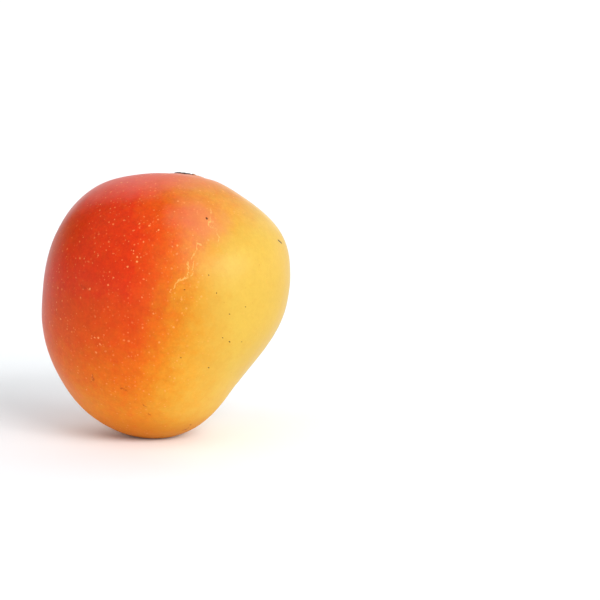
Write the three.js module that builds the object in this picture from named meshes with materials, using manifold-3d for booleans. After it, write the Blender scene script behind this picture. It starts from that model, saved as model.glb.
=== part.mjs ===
// A whole ripe mango, standing on the small flat spot at its tip.
//
// Millimetres, +Z up. X runs across the broad side and Y through the thickness, and the broad
// side faces -Y. The origin is the centre of the flat spot that the fruit rests on.
//
// fruit      the fruit, which grew as one piece: an uneven round outline that swells into two
//            cheeks, flat where it rests, with a shallow hollow at the stem end
// stem_scar  the dried, corky button left in that hollow where the stem broke off

import * as THREE from 'three';
import { mergeVertices } from 'three/addons/utils/BufferGeometryUtils.js';
import Module from 'manifold-3d';

const wasm = await Module();
wasm.setup();

// Driving dimensions of the fruit. The outline is the broad side's, as radii from its centre,
// one every 15 degrees, from +X round towards +Z.
const OUTLINE_RADII = [
  48.7, 50.6, 50.9, 49.2, 48.3, 47.9, 47.4, 48.2, 49.7, 50.0, 49.2, 48.5,
  48.8, 50.6, 52.8, 55.3, 57.9, 59.0, 58.3, 54.2, 48.1, 44.9, 45.0, 46.7,
];
const CHEEK_RADIUS = 49.5; // the even radius that the outline becomes at the top of each cheek
const HALF_THICKNESS = 43;
const CENTRE_X = 4.7; // the outline's centre, from the centre of the flat spot
const CENTRE_HEIGHT = 57.6;
const SKIN_DETAIL = 15; // cuts along each edge of the icosahedron that the skin is drawn from

// The stem end, as leans from straight up: to the right, and away from the broad side
const STEM_LEAN_RIGHT = THREE.MathUtils.degToRad(10);
const STEM_LEAN_BACK = THREE.MathUtils.degToRad(13);
const HOLLOW_RADIUS = 15;
const HOLLOW_DEPTH = 1;

// The scar stands on the hollow's floor, which is height 0 here
const SCAR_RADIUS = 6;
const SCAR_ROOT = 1.8; // how deep it is rooted
const ROOT_CHAMFER = 0.8; // round the bottom of the root
const SHOULDER_RADIUS = 5.4;
const SHOULDER_HEIGHT = 0.55;
const RING_RADIUS = 3.6; // where the scar stands highest
const RING_HEIGHT = 1;
const PIT_RADIUS = 1.8; // the pit falls from here to the middle
const PIT_HEIGHT = 0.3;
const TOP_STEPS = 8; // across the scar's top, from its edge to its middle
const TURN_STEPS = 36; // round the stem end's axis
const SEAT_GAP = 0.3;
const SEAT_OPENING = 6; // how far the tool that cuts the seat reaches out of the hollow

const GROUND_SIZE = 4 * HALF_THICKNESS; // a block wider than the fruit
const CENTRE = new THREE.Vector3(CENTRE_X, 0, CENTRE_HEIGHT);
const AXIS_UP = new THREE.Vector3(0, 1, 0); // the axis that a lathed shape is turned about

// The outline's radius at an angle: the smooth periodic curve through the given radii
function outlineRadius(angle) {
  const count = OUTLINE_RADII.length;
  let radius = 0;
  OUTLINE_RADII.forEach((knot, index) => {
    const half = angle / 2 - (index * Math.PI) / count;
    const onKnot = Math.abs(Math.sin(half)) < 1e-9;
    const weight = onKnot ? 1 : Math.sin(count * half) / (count * Math.tan(half));
    radius += weight * knot;
  });
  return radius;
}

// The point of the plain skin in a direction from the centre. The outline's unevenness fades
// out from the rim towards the middle of each cheek, where the slices are even circles.
function plainSkin(direction) {
  const angle = Math.atan2(direction.z, direction.x);
  const reach = Math.hypot(direction.x, direction.z);
  const uneven = outlineRadius(angle) - CHEEK_RADIUS;
  const radius = reach * (CHEEK_RADIUS + uneven * reach);
  return new THREE.Vector3(
    CENTRE.x + radius * Math.cos(angle),
    CENTRE.y + HALF_THICKNESS * direction.y,
    CENTRE.z + radius * Math.sin(angle),
  );
}

// The way out of the skin at the stem end, from two short steps over the skin
function stemNormal(direction) {
  const step = 0.02;
  const right = direction.clone().add(new THREE.Vector3(step, 0, 0)).normalize();
  const back = direction.clone().add(new THREE.Vector3(0, step, 0)).normalize();
  const here = plainSkin(direction);
  const alongRight = plainSkin(right).sub(here);
  const alongBack = plainSkin(back).sub(here);
  return alongRight.cross(alongBack).normalize();
}

const stemDirection = new THREE.Vector3(
  Math.sin(STEM_LEAN_RIGHT) * Math.cos(STEM_LEAN_BACK),
  Math.sin(STEM_LEAN_BACK),
  Math.cos(STEM_LEAN_RIGHT) * Math.cos(STEM_LEAN_BACK),
);
const stemUp = stemNormal(stemDirection);
const stemPoint = plainSkin(stemDirection);
const hollowFloor = stemPoint.clone().addScaledVector(stemUp, -HOLLOW_DEPTH);

// The skin with the hollow at the stem end pressed into it
function skin(direction) {
  const point = plainSkin(direction);
  const away = point.distanceTo(stemPoint) / HOLLOW_RADIUS;
  if (away < 1) {
    const pressed = HOLLOW_DEPTH * 0.5 * (1 + Math.cos(Math.PI * away));
    point.addScaledVector(stemUp, -pressed);
  }
  return point;
}

// Only positions, with the vertices that neighbouring triangles share merged into one
function weld(geometry) {
  geometry.deleteAttribute('normal');
  geometry.deleteAttribute('uv');
  return mergeVertices(geometry);
}

function toSolid(geometry) {
  const welded = weld(geometry);
  return new wasm.Manifold(new wasm.Mesh({
    numProp: 3,
    vertProperties: new Float32Array(welded.attributes.position.array),
    triVerts: new Uint32Array(welded.index.array),
  }));
}

function toGeometry(solid) {
  const mesh = solid.getMesh();
  const geometry = new THREE.BufferGeometry();
  geometry.setAttribute('position', new THREE.BufferAttribute(mesh.vertProperties, 3));
  geometry.setIndex(new THREE.BufferAttribute(mesh.triVerts, 1));
  geometry.computeVertexNormals();
  return geometry;
}

// An evenly meshed ball, each vertex moved out to the skin
function makeSkin() {
  const ball = weld(new THREE.IcosahedronGeometry(1, SKIN_DETAIL));
  const position = ball.attributes.position;
  for (let index = 0; index < position.count; index += 1) {
    const direction = new THREE.Vector3().fromBufferAttribute(position, index).normalize();
    const point = skin(direction);
    position.setXYZ(index, point.x, point.y, point.z);
  }
  return ball;
}

// Everything below the surface that the fruit rests on
function makeGround() {
  const block = new THREE.BoxGeometry(GROUND_SIZE, GROUND_SIZE, GROUND_SIZE);
  return block.translate(0, 0, -GROUND_SIZE / 2);
}

// Turns a shape about the stem end's own axis and stands it on the hollow's floor
function latheAtStem(profile) {
  const shape = new THREE.LatheGeometry(profile, TURN_STEPS);
  shape.applyQuaternion(new THREE.Quaternion().setFromUnitVectors(AXIS_UP, stemUp));
  shape.translate(hollowFloor.x, hollowFloor.y, hollowFloor.z);
  return shape;
}

// The room for the scar: its root, grown by the gap, and open upwards
function makeSeat() {
  const radius = SCAR_RADIUS + SEAT_GAP;
  const floor = -SCAR_ROOT - SEAT_GAP;
  return latheAtStem([
    new THREE.Vector2(0, floor),
    new THREE.Vector2(radius - ROOT_CHAMFER, floor),
    new THREE.Vector2(radius, floor + ROOT_CHAMFER),
    new THREE.Vector2(radius, SEAT_OPENING),
    new THREE.Vector2(0, SEAT_OPENING),
  ]);
}

// The scar: a rounded shoulder, a ring that stands up, and a pit in the middle
function makeScar() {
  const top = new THREE.SplineCurve([
    new THREE.Vector2(SCAR_RADIUS, 0),
    new THREE.Vector2(SHOULDER_RADIUS, SHOULDER_HEIGHT),
    new THREE.Vector2(RING_RADIUS, RING_HEIGHT),
    new THREE.Vector2(PIT_RADIUS, PIT_HEIGHT),
    new THREE.Vector2(0, 0),
  ]);
  return latheAtStem([
    new THREE.Vector2(0, -SCAR_ROOT),
    new THREE.Vector2(SCAR_RADIUS - ROOT_CHAMFER, -SCAR_ROOT),
    new THREE.Vector2(SCAR_RADIUS, -SCAR_ROOT + ROOT_CHAMFER),
    ...top.getPoints(TOP_STEPS),
  ]);
}

const fruitSkin = new THREE.MeshStandardMaterial({ color: 0xe8702a, roughness: 0.42, metalness: 0 });
const corkyScar = new THREE.MeshStandardMaterial({ color: 0x6b4a32, roughness: 0.9, metalness: 0 });

const fruitSolid = toSolid(makeSkin()).subtract(toSolid(makeGround())).subtract(toSolid(makeSeat()));
const fruit = new THREE.Mesh(toGeometry(fruitSolid), fruitSkin);
fruit.name = 'fruit';

const stemScar = new THREE.Mesh(toGeometry(toSolid(makeScar())), corkyScar);
stemScar.name = 'stem_scar';

const mango = new THREE.Group();
mango.name = 'mango';
mango.add(fruit, stemScar);

export default mango;
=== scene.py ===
"""A ripe mango that stands on its tip on a white studio floor.

The two CAD nodes keep the size, the place and the resting spot. Here the fruit gets its fine
skin and the stem scar its corky relief, in the same frame, in metres.
"""

import math

import bpy
import numpy as np
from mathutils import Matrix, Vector, noise


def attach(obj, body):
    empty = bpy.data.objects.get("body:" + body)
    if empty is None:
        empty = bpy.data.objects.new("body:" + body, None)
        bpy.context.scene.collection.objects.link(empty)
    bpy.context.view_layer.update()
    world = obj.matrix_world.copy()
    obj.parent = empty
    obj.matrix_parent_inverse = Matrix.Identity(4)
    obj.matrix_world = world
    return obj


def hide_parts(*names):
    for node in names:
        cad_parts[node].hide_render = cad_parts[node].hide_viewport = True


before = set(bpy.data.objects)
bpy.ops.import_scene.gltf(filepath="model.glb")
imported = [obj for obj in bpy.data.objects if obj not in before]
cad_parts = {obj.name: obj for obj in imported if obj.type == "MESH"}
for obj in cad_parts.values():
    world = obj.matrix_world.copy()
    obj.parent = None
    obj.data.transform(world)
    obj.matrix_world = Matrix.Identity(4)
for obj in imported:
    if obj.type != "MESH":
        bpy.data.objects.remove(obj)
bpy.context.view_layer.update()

MM = 0.001

# ---------------------------------------------------------------------------
# Driving sizes of the fruit, in millimetres, the same as in the CAD model

# The broad side's outline as radii from its centre, every 15 degrees from +X round towards +Z
OUTLINE_RADII = np.array([
    48.7, 50.6, 50.9, 49.2, 48.3, 47.9, 47.4, 48.2, 49.7, 50.0, 49.2, 48.5,
    48.8, 50.6, 52.8, 55.3, 57.9, 59.0, 58.3, 54.2, 48.1, 44.9, 45.0, 46.7,
])
CHEEK_RADIUS = 49.5
HALF_THICKNESS = 43
CENTRE = np.array([4.7, 0, 57.6])
STEM_LEAN_RIGHT = math.radians(10)
STEM_LEAN_BACK = math.radians(13)
HOLLOW_RADIUS = 15
HOLLOW_DEPTH = 1
SCAR_RADIUS = 6
SCAR_ROOT = 1.8  # how deep the scar is rooted below the hollow's floor

# ---------------------------------------------------------------------------
# Camera, light and floor, in metres

VIEW_ELEVATION = math.radians(10)
VIEW_DISTANCE = 1.3
VIEW_WIDTH = 0.2372  # how much the frame takes in at the fruit
AIM_RIGHT = 0.053  # the middle of the frame, from the middle of the fruit
AIM_DOWN = 0.0031
SENSOR_WIDTH = 36
WALLS_BRIGHT_TO = math.radians(5)  # heights above the horizon
WALLS_DARK_FROM = math.radians(17)
FLOOR_WIDTH = 80


def make_camera():
    camera = bpy.data.objects.new("camera", bpy.data.cameras.new("camera"))
    bpy.context.scene.collection.objects.link(camera)
    camera.data.sensor_width = SENSOR_WIDTH
    camera.data.lens = SENSOR_WIDTH * VIEW_DISTANCE / VIEW_WIDTH
    camera.data.clip_end = 100
    up = Vector((0, math.sin(VIEW_ELEVATION), math.cos(VIEW_ELEVATION)))
    back = Vector((0, -math.cos(VIEW_ELEVATION), math.sin(VIEW_ELEVATION)))
    aim = Vector(CENTRE * MM) + Vector((AIM_RIGHT, 0, 0)) - AIM_DOWN * up
    camera.location = aim + VIEW_DISTANCE * back
    camera.rotation_euler = (math.pi / 2 - VIEW_ELEVATION, 0, 0)
    bpy.context.scene.camera = camera


def make_light(name, bearing, elevation, spread, strength):
    """A distant soft light. Bearing 0 is in front of the fruit, 90 to its right, 180 behind it,
    and spread is how wide the light looks from the fruit, all in degrees."""
    light = bpy.data.lights.new(name, "SUN")
    light.angle = math.radians(spread)
    light.energy = strength
    lamp = bpy.data.objects.new(name, light)
    bpy.context.scene.collection.objects.link(lamp)
    bearing, elevation = math.radians(bearing), math.radians(elevation)
    way = Vector((
        math.sin(bearing) * math.cos(elevation),
        -math.cos(bearing) * math.cos(elevation),
        math.sin(elevation),
    ))
    lamp.location = way
    lamp.rotation_euler = way.to_track_quat("Z", "Y").to_euler()


def make_surroundings(horizon, overhead):
    """Plain white studio walls, bright round the horizon and darker overhead."""
    world = bpy.data.worlds.new("studio")
    world.use_nodes = True
    nodes, links = world.node_tree.nodes, world.node_tree.links
    way = nodes.new("ShaderNodeTexCoord")
    height = nodes.new("ShaderNodeSeparateXYZ")
    fade = nodes.new("ShaderNodeMapRange")
    fade.interpolation_type = "SMOOTHSTEP"
    fade.inputs["From Min"].default_value = math.sin(WALLS_BRIGHT_TO)
    fade.inputs["From Max"].default_value = math.sin(WALLS_DARK_FROM)
    fade.inputs["To Min"].default_value = horizon
    fade.inputs["To Max"].default_value = overhead
    links.new(way.outputs["Generated"], height.inputs["Vector"])
    links.new(height.outputs["Z"], fade.inputs["Value"])
    nodes["Background"].inputs["Color"].default_value = (1, 1, 1, 1)
    links.new(fade.outputs["Result"], nodes["Background"].inputs["Strength"])
    bpy.context.scene.world = world


def make_floor(colour):
    half = FLOOR_WIDTH / 2
    mesh = bpy.data.meshes.new("floor")
    corners = [(-half, -half, 0), (half, -half, 0), (half, half, 0), (-half, half, 0)]
    mesh.from_pydata(corners, [], [(0, 1, 2, 3)])
    floor = bpy.data.objects.new("floor", mesh)
    bpy.context.scene.collection.objects.link(floor)
    material = bpy.data.materials.new("floor_paper")
    material.use_nodes = True
    paper = material.node_tree.nodes["Principled BSDF"]
    paper.inputs["Base Color"].default_value = (*colour, 1)
    paper.inputs["Roughness"].default_value = 0.9
    paper.inputs["Specular IOR Level"].default_value = 0.1
    mesh.materials.append(material)


make_camera()
make_surroundings(horizon=0.95, overhead=0.06)
make_floor((0.86, 0.89, 0.91))
make_light("key", bearing=30, elevation=31, spread=28, strength=1.62)
make_light("side_key", bearing=59, elevation=22, spread=28, strength=1.5)
make_light("left_fill", bearing=-30, elevation=28, spread=120, strength=1.9)
make_light("right_fill", bearing=108, elevation=25, spread=75, strength=1.05)
make_light("back_fill", bearing=180, elevation=40, spread=80, strength=1.15)
bpy.context.scene.view_settings.view_transform = "Standard"

# ---------------------------------------------------------------------------
# Helpers for shapes


def unit(vectors):
    return vectors / np.linalg.norm(vectors, axis=-1, keepdims=True)


def smooth_step(low, high, value):
    """0 up to low and 1 from high on, with no kink between."""
    t = np.clip((value - low) / (high - low), 0, 1)
    return t * t * (3 - 2 * t)


def ridge(distance, middle, width):
    """A smooth ridge, 1 high in its middle and about a third as high one width away."""
    return np.exp(-(((distance - middle) / width) ** 2))


def noise_at(points, wavelength, seed=0.0):
    """Smooth noise from -1 to 1 at points in millimetres, with bumps about a wavelength apart."""
    places = points / wavelength + seed
    return np.array([noise.noise(Vector(place)) for place in places])


def add_mesh(name, vertices, faces):
    """A smooth-shaded piece from vertices in millimetres."""
    mesh = bpy.data.meshes.new(name)
    mesh.from_pydata((vertices * MM).tolist(), [], [list(map(int, face)) for face in faces])
    mesh.shade_smooth()
    piece = bpy.data.objects.new(name, mesh)
    bpy.context.scene.collection.objects.link(piece)
    return piece


# ---------------------------------------------------------------------------
# The fruit

LIP_HEIGHT = 0.35  # of the puckered skin round the scar
LIP_WIDTH = 0.9
SEAT_DEPTH = 1.3  # of the skin under the scar, below the hollow's floor
FLAT_SOFTNESS = 0.35  # how far above and below the floor the flat spot's edge is rounded


def outline_radius(angle):
    """The smooth periodic curve through the outline's radii, which is a sum of sine waves."""
    count = len(OUTLINE_RADII)
    half = angle[:, None] / 2 - np.arange(count) * math.pi / count
    on_knot = np.abs(np.sin(half)) < 1e-9
    half[on_knot] = 0.5  # any angle that can be divided by, as the weight there is 1
    weight = np.sin(count * half) / (count * np.tan(half))
    weight[on_knot] = 1
    return weight @ OUTLINE_RADII


def plain_skin(direction):
    """Points of the skin without its hollow, in millimetres, in these directions from the centre."""
    angle = np.arctan2(direction[:, 2], direction[:, 0])
    reach = np.hypot(direction[:, 0], direction[:, 2])
    uneven = outline_radius(angle) - CHEEK_RADIUS
    radius = reach * (CHEEK_RADIUS + uneven * reach)
    return CENTRE + np.stack([
        radius * np.cos(angle),
        HALF_THICKNESS * direction[:, 1],
        radius * np.sin(angle),
    ], axis=1)


def stem_end():
    """The point of the plain skin at the stem end, and the way out of it there."""
    middle = np.array([
        math.sin(STEM_LEAN_RIGHT) * math.cos(STEM_LEAN_BACK),
        math.sin(STEM_LEAN_BACK),
        math.cos(STEM_LEAN_RIGHT) * math.cos(STEM_LEAN_BACK),
    ])
    step = 0.02
    steps = middle + np.array([[0, 0, 0], [step, 0, 0], [0, step, 0]])
    here, right, back = plain_skin(unit(steps))
    return here, unit(np.cross(right - here, back - here))


STEM_POINT, STEM_UP = stem_end()
HOLLOW_FLOOR = STEM_POINT - HOLLOW_DEPTH * STEM_UP


def press_hollow(points):
    """Presses in the hollow, with the skin puckered up round the scar and a seat under it."""
    away = np.linalg.norm(points - STEM_POINT, axis=1)
    pressed = np.zeros(len(points))
    inside = away < HOLLOW_RADIUS
    pressed[inside] = HOLLOW_DEPTH * 0.5 * (1 + np.cos(np.pi * away[inside] / HOLLOW_RADIUS))
    lip = LIP_HEIGHT * ridge(away, SCAR_RADIUS + LIP_WIDTH, LIP_WIDTH)
    near = away < SCAR_RADIUS + 5
    lip[near] *= 1 + 0.7 * noise_at(points[near], 3.5, seed=40)
    seat = SEAT_DEPTH * (1 - smooth_step(SCAR_RADIUS - 1.2, SCAR_RADIUS - 0.2, away))
    return points - STEM_UP * (pressed - lip + seat)[:, None]


def rest_flat(points):
    """Flattens what would reach below the floor, with a soft edge."""
    height = points[:, 2]
    soft = (height + FLAT_SOFTNESS) ** 2 / (4 * FLAT_SOFTNESS)
    flat = np.where(height < FLAT_SOFTNESS, soft, height)
    flat = np.where(height < -FLAT_SOFTNESS, 0, flat)
    return np.column_stack([points[:, :2], flat])


def skin(direction):
    """Points of the finished skin, with the slight swells that keep it from looking turned."""
    points = plain_skin(direction)
    out = unit((points - CENTRE) / np.array([CHEEK_RADIUS, HALF_THICKNESS, CHEEK_RADIUS]) ** 2)
    swell = 0.30 * noise_at(points, 22, seed=3) + 0.10 * noise_at(points, 9, seed=11)
    points = points + out * swell[:, None]
    return rest_flat(press_hollow(points))


def cube_ball(cuts):
    """A ball as an evenly divided cube: unit directions, quads, and each quad corner's place in a
    3 by 2 atlas of the cube's sides."""
    ticks = np.linspace(-1, 1, cuts + 1)
    slopes = np.tan(ticks * math.pi / 4)
    across, along = np.meshgrid(slopes, slopes, indexing="ij")
    sides = []
    for axis in range(3):
        for sign in (1, -1):
            normal, u, v = np.zeros(3), np.zeros(3), np.zeros(3)
            normal[axis] = sign
            u[(axis + 1) % 3] = 1
            v[(axis + 2) % 3] = sign
            sides.append(normal + across[..., None] * u + along[..., None] * v)
    grid = unit(np.stack(sides))
    index = np.arange(6 * (cuts + 1) ** 2).reshape(6, cuts + 1, cuts + 1)
    quads = np.stack([
        index[:, :-1, :-1], index[:, 1:, :-1], index[:, 1:, 1:], index[:, :-1, 1:],
    ], axis=-1).reshape(-1, 4)
    margin = 0.01  # kept empty round each side of the cube in the atlas
    place = np.stack(np.meshgrid(ticks, ticks, indexing="ij"), axis=-1) * (0.5 - margin) + 0.5
    atlas = np.concatenate([
        ((place + (side % 3, side // 3)) / (3, 2)).reshape(-1, 2) for side in range(6)
    ])
    points = grid.reshape(-1, 3)
    _, first, shared = np.unique(points.round(6), axis=0, return_index=True, return_inverse=True)
    return points[first], shared.reshape(-1)[quads], atlas[quads]


def make_fruit():
    """The fruit, with the cube atlas as its UV layer, OFBake."""
    directions, quads, atlas = cube_ball(cuts=110)
    fruit = add_mesh("mango_fruit", skin(directions), quads)
    layer = fruit.data.uv_layers.new(name="OFBake")
    layer.uv.foreach_set("vector", atlas.reshape(-1, 2).astype(np.float32).ravel())
    return fruit


# ---------------------------------------------------------------------------
# The stem scar

CORK_HEIGHT = 0.35  # above the hollow's floor
RING_RADIUS = 3
RING_BACK = 0.6  # how far the ring's middle is behind the scar's
MOAT_RADIUS = 2.25
PLUG_RADIUS = 2
WORN_SIDE = math.radians(235)
EDGE_DROP = 1.9  # how far the cork's edge goes down, to below the skin round it


def scar_relief(points, radius, inner, turn):
    """How far the scar stands above the hollow's floor, and how light its cork is, from the
    distance to the scar's middle and to the middle of its inner ring.

    Inside out, there are a plug, a moat, a thin ring and a crumbly collar, worn down on one side."""
    rough = noise_at(points, 0.9, seed=5)
    lumps = 2.2 * np.abs(noise_at(points, 1.5, seed=23))
    ring = ridge(inner, RING_RADIUS, 0.30)
    moat = ridge(inner, MOAT_RADIUS, 0.38)
    plug = 1 - smooth_step(PLUG_RADIUS - 0.8, PLUG_RADIUS, inner)
    collar = smooth_step(RING_RADIUS + 0.2, RING_RADIUS + 0.7, inner)
    worn = smooth_step(0.1, 0.7, np.cos(turn - WORN_SIDE))
    crumbs = collar * (1 - 0.85 * worn)
    edge = radius / SCAR_RADIUS
    height = CORK_HEIGHT + 0.50 * ring - 0.50 * moat + plug * (0.1 + 0.35 * rough) + 0.08 * rough
    height += crumbs * (0.55 * lumps - 0.05) + 0.45 * collar * worn
    height -= EDGE_DROP * smooth_step(0.82, 1.0, edge) ** 2
    light = 0.34 + 0.62 * ring - 0.45 * moat + 0.10 * rough + 0.12 * plug
    light += crumbs * (0.75 * lumps - 0.30) - 0.16 * collar * worn
    return height, np.clip(light - 0.6 * smooth_step(0.84, 0.95, edge), 0, 1)


def make_scar(rings=64, spokes=192):
    """The scar as rings of points round its middle, closed below by a cone down to its root."""
    turn = np.tile(np.arange(spokes) * 2 * math.pi / spokes, rings)
    share = np.repeat((np.arange(rings) + 1) / rings, spokes)
    right = unit(np.cross([0, 1, 0], STEM_UP))
    back = np.cross(STEM_UP, right)
    rim = 1 + 0.05 * np.sin(3 * turn + 1) + 0.03 * np.sin(7 * turn)
    radius = SCAR_RADIUS * share
    flat = (radius * rim)[:, None] * (np.cos(turn)[:, None] * right + np.sin(turn)[:, None] * back)
    inner = np.linalg.norm(flat - RING_BACK * back, axis=1)
    height, light = scar_relief(flat, radius, inner, turn)
    top = HOLLOW_FLOOR + flat + height[:, None] * STEM_UP
    middle = HOLLOW_FLOOR + CORK_HEIGHT * STEM_UP
    bottom = HOLLOW_FLOOR - SCAR_ROOT * STEM_UP
    vertices = np.vstack([top, middle, bottom])
    at = np.arange(rings * spokes).reshape(rings, spokes)
    after = np.roll(at, -1, axis=1)
    faces = [
        (at[i, j], at[i + 1, j], after[i + 1, j], after[i, j])
        for i in range(rings - 1) for j in range(spokes)
    ]
    faces += [(at[0, j], after[0, j], len(top)) for j in range(spokes)]
    faces += [(after[-1, j], at[-1, j], len(top) + 1) for j in range(spokes)]
    scar = add_mesh("mango_stem_scar", vertices, faces)
    tone = scar.data.attributes.new("cork_tone", "FLOAT", "POINT")
    tone.data.foreach_set("value", np.append(light, [0.4, 0.2]).astype(np.float32))
    return scar


# ---------------------------------------------------------------------------
# Materials


def linear(colour):
    """A colour given as #rrggbb, as the shader's linear numbers."""
    parts = [int(colour[i:i + 2], 16) / 255 for i in (1, 3, 5)]
    return [p / 12.92 if p <= 0.04045 else ((p + 0.055) / 1.055) ** 2.4 for p in parts] + [1]


class Nodes:
    """Short ways to build one material's node tree. Any value may be a number or a socket, and
    every length is in millimetres."""

    def __init__(self, name):
        self.material = bpy.data.materials.new(name)
        self.material.use_nodes = True
        self.tree = self.material.node_tree
        self.surface = self.tree.nodes["Principled BSDF"]

    def add(self, kind, inputs=(), **settings):
        """A new node of this kind, with its inputs put in and its settings set."""
        node = self.tree.nodes.new(kind)
        for key, value in settings.items():
            setattr(node, key, value)
        for key, value in dict(inputs).items():
            self.put(node.inputs[key], value)
        return node

    def put(self, socket, value):
        """Links a socket, or sets a number, into an input."""
        if isinstance(value, bpy.types.NodeSocket):
            self.tree.links.new(value, socket)
        else:
            socket.default_value = value

    def math(self, operation, a, b=0.0, c=0.0, clamp=False):
        node = self.add("ShaderNodeMath", operation=operation, use_clamp=clamp)
        for socket, value in zip(node.inputs, (a, b, c)):
            self.put(socket, value)
        return node.outputs[0]

    def vector(self, operation, a, b=(0, 0, 0), output="Vector"):
        node = self.add("ShaderNodeVectorMath", operation=operation)
        self.put(node.inputs[0], a)
        self.put(node.inputs[1], b)
        return node.outputs[output]

    def scaled(self, vector, factor):
        return self.add("ShaderNodeVectorMath", {
            "Vector": vector, "Scale": factor,
        }, operation="SCALE").outputs["Vector"]

    def place(self, origin):
        """Where each point of the surface is, from this point of the frame."""
        here = self.add("ShaderNodeTexCoord").outputs["Object"]
        return self.vector("SUBTRACT", self.scaled(here, 1 / MM), origin.tolist())

    def noise(self, place, wavelength, detail=2.0, roughness=0.5, stretch=(1, 1, 1)):
        """Noise from about -1 to 1 with bumps about a wavelength apart."""
        node = self.add("ShaderNodeTexNoise", {
            "Vector": self.vector("MULTIPLY", place, [s / wavelength for s in stretch]),
            "Scale": 1.0, "Detail": detail, "Roughness": roughness,
        })
        return self.math("MULTIPLY_ADD", node.outputs["Fac"], 2.0, -1.0)

    def warped(self, place, wavelength, amount):
        """Places pushed about by up to some amount, to break up straight lines."""
        node = self.add("ShaderNodeTexNoise", {"Vector": place, "Scale": 1 / wavelength})
        push = self.vector("SUBTRACT", node.outputs["Color"], (0.5, 0.5, 0.5))
        return self.vector("ADD", place, self.scaled(push, 2 * amount))

    def step(self, value, low, high, shape="SMOOTHSTEP"):
        """0 at low and 1 at high, which may be the lower number of the two."""
        node = self.add("ShaderNodeMapRange", {
            "Value": value, "From Min": low, "From Max": high,
        }, interpolation_type=shape)
        return node.outputs["Result"]

    def ramp(self, value, stops):
        """The colour at a value between stops of a position and a #rrggbb colour."""
        node = self.add("ShaderNodeValToRGB", {"Fac": value})
        elements = node.color_ramp.elements
        while len(elements) < len(stops):
            elements.new(0.5)
        for element, (position, colour) in zip(elements, stops):
            element.position = position
            element.color = linear(colour)
        return node.outputs["Color"]

    def mix(self, amount, below, above):
        """One colour laid over another by some amount."""
        node = self.add("ShaderNodeMix", data_type="RGBA")
        factor, colour_a, colour_b = node.inputs[0], node.inputs[6], node.inputs[7]
        self.put(factor, amount)
        self.put(colour_a, below)
        self.put(colour_b, above)
        return node.outputs[2]

    def tint(self, colour, where, amount, paint):
        """The colour, painted over with #rrggbb paint by this amount where the mask is 1."""
        return self.mix(self.math("MULTIPLY", where, amount), colour, linear(paint))

    def patch(self, place, middle, outer, inner, cloud=0.0, ragged=0.0):
        """1 up to the inner distance from a point, falling to 0 at the outer one, with its edge
        pushed about by a cloud of noise."""
        away = self.vector("DISTANCE", place, middle, "Value")
        return self.step(self.math("MULTIPLY_ADD", cloud, ragged, away), outer, inner)

    def dots(self, place, cell, radius, keep):
        """Scattered soft round dots, in a share of the cells, some stronger than others."""
        cells = self.add("ShaderNodeTexVoronoi", {"Vector": place, "Scale": 1 / cell})
        chance = self.add("ShaderNodeSeparateColor", {"Color": cells.outputs["Color"]})
        away = self.math("MULTIPLY", cells.outputs["Distance"], cell)
        size = self.math("MULTIPLY_ADD", chance.outputs["Green"], 0.6 * radius, 0.7 * radius)
        dot = self.step(self.math("DIVIDE", away, size), 1.25, 0.65)
        kept = self.math("LESS_THAN", chance.outputs["Red"], keep)
        strength = self.math("MULTIPLY_ADD", chance.outputs["Blue"], 0.7, 0.3)
        return self.math("MULTIPLY", dot, self.math("MULTIPLY", kept, strength))

    def stroke(self, place, start, end, radius):
        """A soft stroke between two points."""
        start, end = Vector(start), Vector(end)
        along = end - start
        offset = self.vector("SUBTRACT", place, start)
        share = self.vector("DOT_PRODUCT", offset, along / along.length_squared, "Value")
        share = self.math("MAXIMUM", self.math("MINIMUM", share, 1.0), 0.0)
        nearest = self.add("ShaderNodeVectorMath", {
            0: share, 1: along, 2: start,
        }, operation="MULTIPLY_ADD").outputs["Vector"]
        away = self.vector("DISTANCE", place, nearest, "Value")
        return self.step(away, 1.3 * radius, 0.6 * radius)

    def strokes(self, place, marks):
        """The marks of the broad front side, whose points are right of its centre and above it."""
        flat = self.vector("MULTIPLY", place, (1, 0, 1))
        return self.most([
            self.stroke(flat, (start[0], 0, start[1]), (end[0], 0, end[1]), radius)
            for start, end, radius in marks
        ])

    def most(self, values):
        """The greatest of the values."""
        greatest = values[0]
        for value in values[1:]:
            greatest = self.math("MAXIMUM", greatest, value)
        return greatest

    def bump(self, height, strength=1.0):
        """Relief from a height."""
        return self.add("ShaderNodeBump", {
            "Height": height, "Distance": MM, "Strength": strength,
        }).outputs["Normal"]


# From yellow, unblushed skin to red skin, and from dark to pale cork
SKIN_COLOURS = [
    (0.0, "#bf9b3d"), (0.17, "#be9135"), (0.33, "#c08626"), (0.47, "#c07315"),
    (0.62, "#c15d0b"), (0.78, "#c04607"), (0.93, "#bf3703"), (1.0, "#bd2c03"),
]
CORK_COLOURS = [
    (0.0, "#260b05"), (0.25, "#43200f"), (0.5, "#875030"), (0.72, "#c78d68"), (1.0, "#ddc4a0"),
]

# Places on the skin, from the fruit's centre
FLUSH = (9, -32, 28)
# The middle of a painted highlight, a pinkish reflection of the key light high on the front
PAINTED_HIGHLIGHT_PLACE = (14, -28, 33)
OLIVE_PATCH = (-41, -8, 24)
SCAR_PLACE = (STEM_POINT - CENTRE).tolist()
SIDE_SPECK = ((0, -9.6, 22.2), (0, -8.0, 21.0), 0.42)  # the one mark that is on the right side

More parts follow.
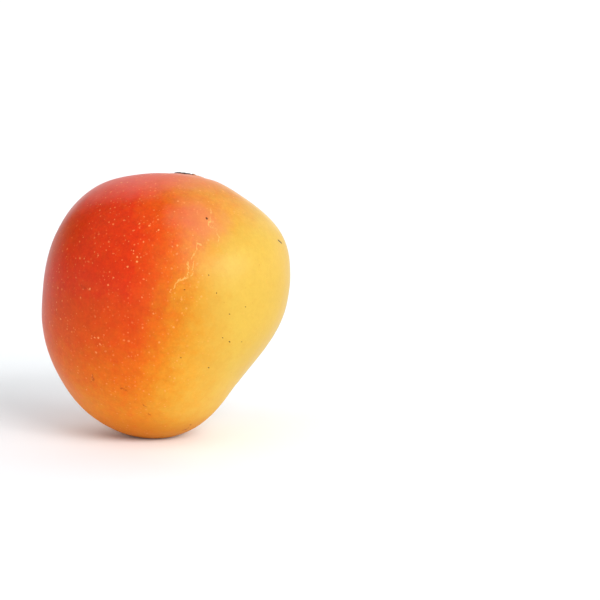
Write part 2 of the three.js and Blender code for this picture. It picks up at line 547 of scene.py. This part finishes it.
# The skin's own marks on the broad front side, each from one point to another, right of the
# fruit's centre and above it, with its half width
DARK_SPECKS = [
    ((16.9, 33.7), (17.2, 33.4), 0.30), ((17.6, -23.7), (17.8, -23.9), 0.20),
    ((7.1, -18.7), (7.3, -18.8), 0.17),
    ((21.0, 6.5), (21.0, 6.2), 0.16), ((18.0, 13.4), (18.1, 13.2), 0.17),
    ((25.8, -2.2), (26.0, -2.3), 0.18), ((31.9, 0.0), (32.1, -0.2), 0.14),
    ((23.1, -11.5), (23.3, -11.7), 0.16), ((25.7, -13.4), (25.9, -13.7), 0.22),
    ((8.7, 8.2), (9.0, 8.2), 0.17), ((30.3, -14.3), (30.5, -14.3), 0.14),
]
BROWN_SCUFFS = [
    ((-30.2, 7.8), (-29.8, 7.2), 0.50), ((-27.8, -27.2), (-27.2, -30.4), 0.45),
    ((-16.2, -32.4), (-14.2, -33.4), 0.50), ((-14.8, -31.2), (-13.8, -32.6), 0.35),
    ((-8.3, -39.2), (-7.2, -40.0), 0.40), ((-6.2, -42.6), (-6.0, -44.4), 0.40),
    ((10.6, -49.8), (6.4, -53.4), 0.22),
]
PALE_SCRATCHES = [
    ((15.8, 24.4), (13.4, 25.4), 0.30), ((13.4, 25.4), (12.6, 21.6), 0.32),
    ((12.6, 21.6), (10.2, 18.4), 0.36), ((10.2, 18.4), (9.9, 13.6), 0.36),
    ((9.9, 13.6), (6.6, 11.6), 0.32), ((6.6, 11.6), (3.6, 7.8), 0.34),
    ((12.4, 17.8), (11.4, 12.8), 0.24), ((17.8, 36.4), (18.4, 31.6), 0.28),
    ((18.4, 31.6), (20.8, 29.4), 0.30), ((20.8, 29.4), (21.2, 25.6), 0.32),
]


def blush_colour(n, place, right, up):
    """How red the skin is, from 0 to 1, and its colour: red on the left, fading across to yellow
    on the right, and weaker towards the tip, where painted light also makes it brighter. A little
    red goes on over the crown and as a flush high on the front. A mottle and a fine grain break
    all of it up."""
    drift = n.math("MULTIPLY_ADD", n.noise(place, 26), 4.0, right)
    streaks = n.noise(place, 6, detail=4, roughness=0.62, stretch=(1, 1, 0.5))
    across = n.math("MULTIPLY_ADD", streaks, 3.6, drift)
    side = n.step(across, 28, -12, "LINEAR")
    ripeness = n.math("MULTIPLY_ADD", n.step(up, -42, 12, "LINEAR"), 0.48, 0.52)
    crown = n.math("MULTIPLY", n.step(up, 18, 42), n.step(across, 46, 26))
    redness = n.most([n.math("MULTIPLY", side, ripeness), n.math("MULTIPLY", crown, 0.42)])
    flush = n.patch(place, FLUSH, outer=23, inner=5)
    redness = n.math("MULTIPLY_ADD", flush, 0.13, redness)
    mottle = n.math("MULTIPLY", n.noise(place, 3.6, detail=5, roughness=0.68), 0.15)
    colour = n.ramp(n.math("ADD", redness, mottle, clamp=True), SKIN_COLOURS)
    # Painted light: the lower half is made brighter towards the tip, more on the left, standing in
    # for bounce light from the floor in front.
    painted_light_amount = n.math("MULTIPLY_ADD", n.step(right, -15, 25), -0.20, 0.43)
    painted_light_gain = n.math("MULTIPLY_ADD", n.step(up, 0, -50, "LINEAR"), painted_light_amount, 1.0)
    fine = n.noise(place, 1.0, detail=3, roughness=0.6)
    coarse = n.noise(place, 3.4, detail=3, roughness=0.6)
    grain = n.math("MULTIPLY_ADD", coarse, 0.13, n.math("MULTIPLY", fine, 0.13))
    uneven = n.math("MULTIPLY_ADD", n.step(redness, 0.1, 0.6), 0.80, 0.40)
    uneven = n.math("MULTIPLY_ADD", n.step(up, 8, 36), 0.35, uneven)
    return redness, n.scaled(colour, n.math("MULTIPLY_ADD", grain, uneven, painted_light_gain))


def skin_clouds(n, place, right, up, colour):
    """The colour with a waxy bloom at the stem end and lower on the left, whose pale pink is partly
    painted sheen, a painted highlight below it, an olive tinge on the left shoulder, a deeper
    orange tip that is partly painted shade and a pale halo round the stem scar, and how much
    bloom and sheen there is."""
    cloud = n.noise(place, 9, detail=3, roughness=0.6)
    lower = n.math("MULTIPLY_ADD", n.step(right, 4, -26), 3.5, up)
    # Partly painted sheen: the pale pink is the skin's waxy bloom and also a painted reflection of
    # the white surroundings along the top.
    bloom_and_sheen = n.step(n.math("MULTIPLY_ADD", cloud, 3.0, lower), 40, 49)
    colour = n.tint(colour, bloom_and_sheen, 0.60, "#d4685a")
    # Painted highlight: a pinkish patch standing in for the key light's reflection high on the
    # front.
    painted_highlight = n.patch(place, PAINTED_HIGHLIGHT_PLACE, outer=17, inner=3, cloud=cloud, ragged=5.0)
    colour = n.tint(colour, painted_highlight, 0.50, "#c86855")
    olive = n.patch(place, OLIVE_PATCH, outer=19, inner=6, cloud=cloud, ragged=6.0)
    colour = n.tint(colour, olive, 0.18, "#a06a30")
    # A deeper, darker orange towards the tip: partly the skin's own colour, partly painted shade
    # close to the floor.
    tip = n.step(n.math("MULTIPLY_ADD", cloud, 3.0, up), -42, -54)
    colour = n.tint(colour, tip, 0.60, "#c47008")
    halo = n.patch(place, SCAR_PLACE, outer=8.2, inner=6.4, cloud=cloud, ragged=1.6)
    return n.tint(colour, halo, 0.32, "#e0a07c"), bloom_and_sheen


def skin_pores(n, place, redness, colour):
    """The colour with its pores, which are pale on the blush, and fewer, finer and brown where
    the skin is yellow, and the pores themselves."""
    patches = n.step(n.noise(place, 8), -0.35, 0.35)
    large = n.dots(n.warped(place, 0.9, 0.35), cell=1.9, radius=0.38, keep=0.48)
    small = n.dots(n.warped(place, 0.7, 0.20), cell=1.2, radius=0.27, keep=0.40)
    pores = n.most([
        n.math("MULTIPLY", large, n.math("MULTIPLY_ADD", patches, 0.7, 0.3)),
        n.math("MULTIPLY", small, n.math("MULTIPLY_ADD", patches, 0.45, 0.15)),
    ])
    blushed = n.step(redness, 0.12, 0.5)
    pale = n.math("MULTIPLY", pores, n.math("MULTIPLY_ADD", blushed, 0.55, 0.10))
    colour = n.mix(pale, colour, linear("#efa060"))
    brown = n.dots(n.warped(place, 0.8, 0.20), cell=2.6, radius=0.20, keep=0.35)
    brown = n.math("MULTIPLY", brown, n.math("MULTIPLY_ADD", blushed, -0.28, 0.38))
    return n.mix(brown, colour, linear("#8a5516")), pores


def skin_marks(n, place, right, back, colour):
    """The colour with the skin's own marks, and which of it is pale scratch and dark speck."""
    front = n.step(back, 4, -4)
    wavy = n.warped(n.warped(place, 3.2, 2.2), 0.9, 0.55)
    gaps = n.step(n.noise(place, 1.3, roughness=0.6), -0.30, 0.15)
    marked = n.math("MULTIPLY", gaps, front)
    scratch = n.math("MULTIPLY", n.strokes(wavy, PALE_SCRATCHES), marked)
    colour = n.tint(colour, scratch, 0.55, "#e0a85c")
    scuff = n.math("MULTIPLY", n.strokes(wavy, BROWN_SCUFFS), marked)
    colour = n.tint(colour, scuff, 0.60, "#9a3206")
    speck = n.math("MULTIPLY", n.strokes(place, DARK_SPECKS), front)
    side = n.stroke(n.vector("MULTIPLY", place, (0, 1, 1)), *SIDE_SPECK)
    speck = n.most([speck, n.math("MULTIPLY", side, n.step(right, 30, 40))])
    return n.tint(colour, speck, 0.90, "#2c1006"), scratch, speck


GRAIN_HEIGHT = 0.012  # the relief, in millimetres
PORE_HEIGHT = 0.03
SCRATCH_HEIGHT = 0.04
SPECK_DEPTH = 0.05
SKIN_ROUGHNESS = 0.34
SKIN_IOR = 1.23  # low, for the soft shine of a waxy skin


def make_skin_material():
    n = Nodes("mango_skin")
    place = n.place(CENTRE)
    right, back, up = n.add("ShaderNodeSeparateXYZ", {"Vector": place}).outputs
    redness, colour = blush_colour(n, place, right, up)
    colour, bloom_and_sheen = skin_clouds(n, place, right, up, colour)
    colour, pores = skin_pores(n, place, redness, colour)
    colour, scratch, speck = skin_marks(n, place, right, back, colour)

    height = n.math("MULTIPLY", n.noise(place, 0.9, detail=3, roughness=0.55), GRAIN_HEIGHT)
    height = n.math("MULTIPLY_ADD", pores, PORE_HEIGHT, height)
    height = n.math("MULTIPLY_ADD", scratch, SCRATCH_HEIGHT, height)
    height = n.math("MULTIPLY_ADD", speck, -SPECK_DEPTH, height)
    dull = n.math("MULTIPLY_ADD", n.noise(place, 5), 0.04, SKIN_ROUGHNESS)
    dull = n.math("MULTIPLY_ADD", bloom_and_sheen, 0.08, n.math("MULTIPLY_ADD", pores, 0.06, dull))
    dull = n.math("MULTIPLY_ADD", n.step(up, -35, -50), 0.25, dull)

    n.put(n.surface.inputs["Base Color"], colour)
    n.put(n.surface.inputs["Roughness"], dull)
    n.put(n.surface.inputs["Normal"], n.bump(height))
    n.surface.inputs["IOR"].default_value = SKIN_IOR
    return n.material


def make_cork_material():
    n = Nodes("mango_cork")
    place = n.place(HOLLOW_FLOOR)
    fine = n.noise(place, 0.35, detail=3, roughness=0.6)
    tone = n.add("ShaderNodeAttribute", attribute_name="cork_tone").outputs["Fac"]
    tone = n.math("MULTIPLY_ADD", fine, 0.14, tone, clamp=True)
    colour = n.ramp(tone, CORK_COLOURS)
    dull = n.math("MULTIPLY_ADD", n.step(tone, 0.1, 0.5), 0.35, 0.42)
    n.put(n.surface.inputs["Base Color"], colour)
    n.put(n.surface.inputs["Roughness"], dull)
    n.put(n.surface.inputs["Normal"], n.bump(fine, 0.08))
    return n.material


fruit = make_fruit()
fruit.data.materials.append(make_skin_material())
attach(fruit, "root")
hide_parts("fruit")

scar = make_scar()
scar.data.materials.append(make_cork_material())
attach(scar, "root")
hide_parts("stem_scar")
